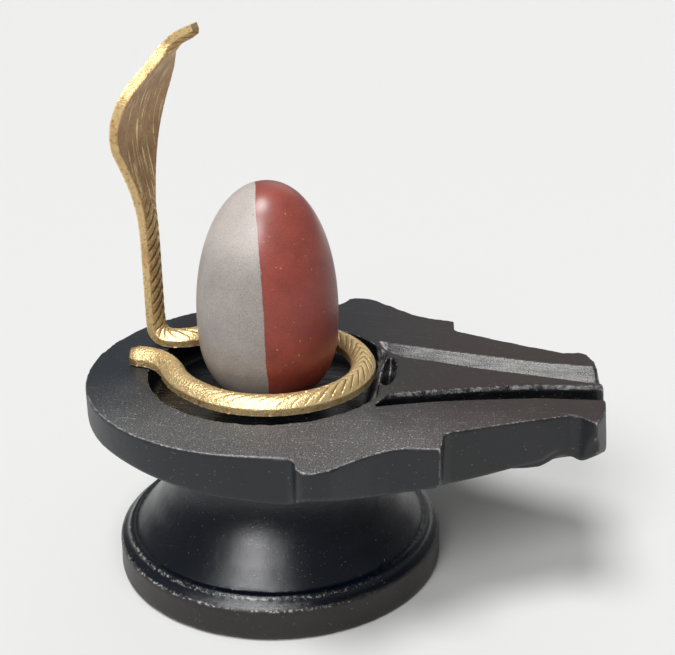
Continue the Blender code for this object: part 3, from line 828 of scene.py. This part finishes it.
class SnakeShape:
    """The snake as stations along its back, measured from the tail's tip, and a section at each."""

    def __init__(self, settings):
        self.back = settings.back / MM
        self.step = settings.step / MM
        self.pitch = settings.scale_pitch / MM
        self.sweep = settings.scale_sweep / MM
        self.depth = settings.scale_depth / MM
        turn = math.radians(NECK_TURN)
        self.facing = Vector((math.cos(turn), -math.sin(turn), 0.0))
        self.stations = self.flat_stations() + self.upright_stations()
        self.marks = [0.0]
        for a, b in zip(self.stations, self.stations[1:]):
            self.marks.append(self.marks[-1] + (b[0] - a[0]).length)
        self.length = self.marks[-1]
        self.section = self.section_points()

    def neck_point(self, forward, height=0.0):
        x, y = NECK_PLACE
        return Vector((x + self.facing.x * forward, y + self.facing.y * forward, height))

    def coil_points(self):
        points = []
        for i in range(COIL_STEPS + 1):
            angle = math.radians(COIL_START + (COIL_END - COIL_START) * i / COIL_STEPS)
            points.append((COIL_CENTRE[0] + COIL_RADIUS * math.cos(angle),
                           COIL_CENTRE[1] + COIL_RADIUS * math.sin(angle)))
        return points

    def flat_stations(self):
        """The part that lies down: place of the back's middle, sideways direction and section."""
        bend_start = self.neck_point(NECK_FORWARD + BEND_RADIUS)[:2]
        plan = smooth_route([*TAIL_ROUTE, *self.coil_points(), *NECK_ROUTE, bend_start], ROUTE_STEPS)
        stations = []
        travelled = 0.0
        for i, (x, y) in enumerate(plan):
            before = plan[max(i - 1, 0)]
            after = plan[min(i + 1, len(plan) - 1)]
            travelled += math.dist(before, (x, y))
            along = Vector((after[0] - before[0], after[1] - before[1], 0.0)).normalized()
            taper = min(travelled / TIP_TAPER, 1.0)
            half_width = TIP_HALF_WIDTH + (BODY_HALF_WIDTH - TIP_HALF_WIDTH) * math.sqrt(taper)
            crown = BODY_CROWN * (TIP_CROWN_SHARE + (1 - TIP_CROWN_SHARE) * taper)
            sideways = Vector((-along.y, along.x, 0.0))
            stations.append((Vector((x, y, self.back)), sideways, half_width, BODY_SIDE, crown, 0.0))
        return stations

    def upright_stations(self):
        """The bend, the neck, the hood and the head, in the same terms."""
        sideways = Vector((self.facing.y, -self.facing.x, 0.0))
        stations = []
        for i in range(1, BEND_STEPS):
            angle = math.pi / 2 * i / BEND_STEPS
            forward = NECK_FORWARD + BEND_RADIUS * (1 - math.sin(angle))
            height = self.back + BEND_RADIUS * (1 - math.cos(angle))
            stations.append((self.neck_point(forward, height), sideways, BODY_HALF_WIDTH, BODY_SIDE,
                             BODY_CROWN, 0.0))
        for height, forward, half_width, side, crown in smooth_route(HOOD, ROUTE_STEPS):
            hood = min(max((half_width - HOOD_FROM_WIDTH) / (HOOD_FULL_WIDTH - HOOD_FROM_WIDTH), 0.0), 1.0)
            stations.append((self.neck_point(forward, height), sideways, half_width, side, crown, hood))
        return stations

    def at(self, distance):
        """The station at a distance, mixed from the two beside it."""
        distance = min(max(distance, 0.0), self.length)
        i = 1
        while self.marks[i] < distance and i < len(self.marks) - 1:
            i += 1
        t = (distance - self.marks[i - 1]) / (self.marks[i] - self.marks[i - 1])
        return [p + (q - p) * t for p, q in zip(self.stations[i - 1], self.stations[i])]

    def frame(self, distance):
        """Place, sideways and outward directions and section at a distance."""
        place, sideways, *section = self.at(distance)
        along = (self.at(distance + 0.4)[0] - self.at(distance - 0.4)[0]).normalized()
        sideways = sideways.normalized()
        return place, sideways, along.cross(sideways).normalized(), section

    def section_points(self):
        """Across, share of the side's height and share of the crown, once round from the back's edge."""
        points = [(1 - 2 * i / BACK_POINTS, 0.0, 0.0) for i in range(BACK_POINTS)]
        points += [(-1.0, i / SIDE_POINTS, 0.0) for i in range(SIDE_POINTS)]
        for i in range(DOME_POINTS):
            angle = math.pi * i / DOME_POINTS
            points.append((-math.cos(angle), 1.0, 1 - abs(math.cos(angle)) ** CROWN_FULLNESS))
        points += [(1.0, 1 - i / SIDE_POINTS, 0.0) for i in range(SIDE_POINTS + 1)]
        return points

    def scale_cut(self, distance, across):
        """Depth share of the scale cuts, which meet in a point that leads towards the head."""
        phase = (distance - self.sweep * (1 - abs(across))) / self.pitch
        cell = abs(phase - math.floor(phase) - 0.5) * 2
        width = CUT_WIDTH + CUT_WIDENING * step_up(distance, *SCALES_WIDEN)
        width += CUT_WAVER * noise.noise(Vector((distance * 0.3, across, 0)))
        return max(cell - 1 + width, 0.0) / width

    def surface(self, distance, index):
        """A point of the finished surface, and how deeply it is cut, whether it is hood and how dull."""
        place, sideways, outward, (half_width, side, crown, hood) = self.frame(distance)
        across, rise, swell = self.section[index]
        point = place + sideways * (half_width * across) + outward * (side * rise + crown * swell)
        pits = layered(point, CAST_NOISE)
        # The upright neck and hood, the body's sides and the tail's tip get a dull value, which makes them
        # darker and rougher
        upright = step_up(place.z, self.back + 3.0, self.back + 9.0)
        tip = TIP_TARNISH * (1 - step_up(distance, 0.0, TIP_LENGTH))
        if rise == 1.0:
            flat_edge = 1 - abs(across) ** 6
            scaled = max(step_up(distance, *SCALES_SET_IN), SCALES_FAINT) * (1 - hood) * flat_edge
            cut = self.scale_cut(distance, across) * scaled
            rough = CAST_DEPTH * (2 - step_up(distance, *ROUGH_TAIL))
            point += outward * (pits * rough - self.depth * cut)
            return point, cut, hood * flat_edge, (0.5 + 0.4 * hood) * upright + tip
        flash = FLASH * max(noise.noise(Vector((distance * 1.3, across, 0.0))), 0.0) * (rise == 0.0)
        point += sideways * (across * (SIDE_DEPTH * pits * (rise > 0.0) + flash * (abs(across) == 1.0)))
        return point, 0.0, 0.0, (0.34 + 0.14 * upright) * (rise > 0.0) + tip

    def cast(self):
        """The whole snake: a flat grid rolled round its stations and closed at both ends."""
        rings = round(self.length / self.step)
        shape = bmesh.new()
        bmesh.ops.create_grid(shape, x_segments=rings, y_segments=len(self.section) - 1, size=1.0)
        cut, hood, dull = (shape.verts.layers.float.new(name) for name in ("cut", "hood", "dull"))
        lie = shape.verts.layers.float_vector.new("lie")
        for vert in shape.verts:
            distance = (vert.co.x + 1) / 2 * self.length
            index = round((vert.co.y + 1) / 2 * (len(self.section) - 1))
            half_width = self.at(distance)[2]
            vert[lie] = Vector((distance, self.section[index][0] * half_width, 0.0)) * MM
            vert.co, vert[cut], vert[hood], vert[dull] = self.surface(distance, index)
        bmesh.ops.remove_doubles(shape, verts=shape.verts, dist=0.0005)
        ends = [edge for edge in shape.edges if edge.is_boundary]
        bmesh.ops.holes_fill(shape, edges=ends, sides=0)
        return shape


class StageOperator(bpy.types.Operator):
    """Set up the floor, the light and the camera"""
    bl_idname = "stone_egg.stage"
    bl_label = "Stage"

    def execute(self, context):
        settings = context.scene.egg_stage
        shape = bmesh.new()
        bmesh.ops.create_grid(shape, x_segments=1, y_segments=1, size=FLOOR_REACH)
        add_object("floor", shape, plain_finish("pale_floor", settings.floor_colour, 0.9))
        world = bpy.data.worlds.new("room")
        world.use_nodes = True
        world.node_tree.nodes["Background"].inputs["Color"].default_value = (1.0, 1.0, 1.0, 1.0)
        world.node_tree.nodes["Background"].inputs["Strength"].default_value = settings.sky
        context.scene.world = world
        for sun in SUNS:
            add_sun(*sun)
        add_camera(settings)
        context.scene.view_settings.view_transform = "Standard"
        return {"FINISHED"}


def add_sun(name, towards, spread, strength):
    light = bpy.data.lights.new(name, "SUN")
    light.angle = math.radians(spread)
    light.energy = strength
    obj = bpy.data.objects.new(name, light)
    obj.location = Vector(towards)
    obj.rotation_euler = (-Vector(towards)).to_track_quat("-Z", "Y").to_euler()
    bpy.context.scene.collection.objects.link(obj)


def add_camera(settings):
    back = Vector((math.sin(settings.turn) * math.cos(settings.rise),
                   -math.cos(settings.turn) * math.cos(settings.rise), math.sin(settings.rise)))
    right = (-back).cross(Vector((0, 0, 1))).normalized()
    up = right.cross(-back)
    tilted_right = right * math.cos(settings.roll) + up * math.sin(settings.roll)
    tilted_up = up * math.cos(settings.roll) - right * math.sin(settings.roll)
    data = bpy.data.cameras.new("camera")
    data.sensor_fit = "HORIZONTAL"
    data.sensor_width = 36.0
    data.lens = settings.lens
    data.clip_start = 0.01
    camera = bpy.data.objects.new("camera", data)
    place = Vector(settings.target) + back * settings.distance
    turn = Matrix((tilted_right, tilted_up, back)).transposed().to_4x4()
    camera.matrix_world = Matrix.Translation(place) @ turn
    bpy.context.scene.collection.objects.link(camera)
    bpy.context.scene.camera = camera


class BaseOperator(bpy.types.Operator):
    """Carve the black base"""
    bl_idname = "stone_egg.base"
    bl_label = "Carved base"

    def execute(self, context):
        settings = context.scene.egg_base
        obj = add_object("carved_base", BaseShape(settings).worn(), black_stone(settings))
        thin_out(obj, settings.kept)
        dress(obj, "yoni_base")
        return {"FINISHED"}


class StoneOperator(bpy.types.Operator):
    """Turn the two-coloured stone egg"""
    bl_idname = "stone_egg.stone"
    bl_label = "Stone egg"

    def execute(self, context):
        settings = context.scene.egg_stone
        shape = turned(stone_profile(settings), settings.steps)
        above = settings.top / MM - STONE_WIDEST
        for vert in shape.verts:
            share = max(vert.co.z - STONE_WIDEST, 0.0) / above
            vert.co.x += STONE_OFF_AXIS + STONE_LEAN * share * share
        obj = add_object("stone_egg", shape, two_coloured_stone(settings))
        dress(obj, "lingam_stone")
        return {"FINISHED"}


class SnakeOperator(bpy.types.Operator):
    """Cast the brass snake"""
    bl_idname = "stone_egg.snake"
    bl_label = "Brass snake"

    def execute(self, context):
        settings = context.scene.egg_snake
        obj = add_object("snake_casting", SnakeShape(settings).cast(), cast_brass(settings))
        obj.data.set_sharp_from_angle(angle=math.radians(SMOOTH_UP_TO))
        dress(obj, "brass_snake")
        return {"FINISHED"}


class StoneEggPanel(bpy.types.Panel):
    """Stone egg, its base and its snake"""
    bl_idname = "VIEW3D_PT_stone_egg"
    bl_label = "Stone egg"
    bl_space_type = "VIEW_3D"
    bl_region_type = "UI"
    bl_category = "Stone egg"

    def draw(self, context):
        for operator, settings in zip(OPERATORS, SETTINGS):
            self.layout.operator(operator.bl_idname)
            group = getattr(context.scene, settings)
            for name in group.bl_rna.properties.keys():
                if name not in ("name", "rna_type"):
                    self.layout.prop(group, name)


OPERATORS = (StageOperator, BaseOperator, StoneOperator, SnakeOperator)
SETTINGS = {
    "egg_stage": StageSettings,
    "egg_base": BaseSettings,
    "egg_stone": StoneSettings,
    "egg_snake": SnakeSettings,
}


def register():
    for name, settings in SETTINGS.items():
        bpy.utils.register_class(settings)
        setattr(bpy.types.Scene, name, PointerProperty(type=settings))
    for operator in OPERATORS:
        bpy.utils.register_class(operator)
    bpy.utils.register_class(StoneEggPanel)


def unregister():
    bpy.utils.unregister_class(StoneEggPanel)
    for operator in reversed(OPERATORS):
        bpy.utils.unregister_class(operator)
    for name, settings in SETTINGS.items():
        delattr(bpy.types.Scene, name)
        bpy.utils.unregister_class(settings)


def main():
    register()
    for group, action in (operator.bl_idname.split(".") for operator in OPERATORS):
        getattr(getattr(bpy.ops, group), action)()


if __name__ == "__main__":
    main()
